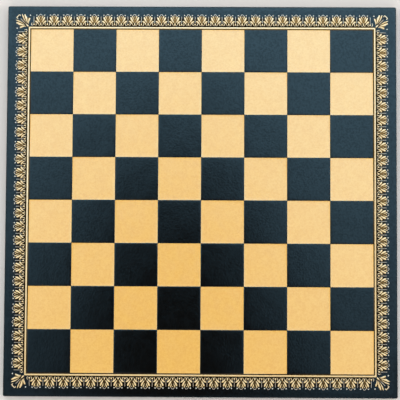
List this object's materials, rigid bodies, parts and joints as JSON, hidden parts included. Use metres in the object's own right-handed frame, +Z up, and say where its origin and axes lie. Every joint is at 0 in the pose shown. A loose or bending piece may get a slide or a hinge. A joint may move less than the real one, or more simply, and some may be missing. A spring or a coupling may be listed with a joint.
{
  "type": "chessboard",
  "caption": "Flat square chessboard: a panel wrapped in dark leatherette with stamped cream squares, a gold frame line, a gold palmette border with corner leaves, and a felt underside.",
  "frame": {"origin": "centre of the felt underside, on the table", "axes": "+Z up out of the playing surface, +X along the files from a to h, +Y along the ranks from 1 to 8"},
  "size_m": [0.4, 0.4, 0.012],
  "materials": {
    "leatherette": "blue-black embossed grain with a soft satin sheen",
    "cream_foil": "cream-tan pigment foil, pressed flat, faint grain, satin",
    "gold_foil": "pale gold hot-stamping foil, satin metallic",
    "fibreboard": "raw medium-density fibreboard",
    "felt": "black pressed felt"
  },
  "bodies": {
    "root": {"core_panel": "fibreboard", "leather_cover": "leatherette", "felt_backing": "felt", "light_square_a2": "cream_foil", "light_square_a4": "cream_foil", "light_square_a6": "cream_foil", "light_square_a8": "cream_foil", "light_square_b1": "cream_foil", "light_square_b3": "cream_foil", "light_square_b5": "cream_foil", "light_square_b7": "cream_foil", "light_square_c2": "cream_foil", "light_square_c4": "cream_foil", "light_square_c6": "cream_foil", "light_square_c8": "cream_foil", "light_square_d1": "cream_foil", "light_square_d3": "cream_foil", "light_square_d5": "cream_foil", "light_square_d7": "cream_foil", "light_square_e2": "cream_foil", "light_square_e4": "cream_foil", "light_square_e6": "cream_foil", "light_square_e8": "cream_foil", "light_square_f1": "cream_foil", "light_square_f3": "cream_foil", "light_square_f5": "cream_foil", "light_square_f7": "cream_foil", "light_square_g2": "cream_foil", "light_square_g4": "cream_foil", "light_square_g6": "cream_foil", "light_square_g8": "cream_foil", "light_square_h1": "cream_foil", "light_square_h3": "cream_foil", "light_square_h5": "cream_foil", "light_square_h7": "cream_foil", "gold_frame_line": "gold_foil", "palmette_border_north": "gold_foil", "palmette_border_east": "gold_foil", "palmette_border_south": "gold_foil", "palmette_border_west": "gold_foil", "corner_leaf_northeast": "gold_foil", "corner_leaf_southeast": "gold_foil", "corner_leaf_southwest": "gold_foil", "corner_leaf_northwest": "gold_foil"}
  },
  "joints": []
}
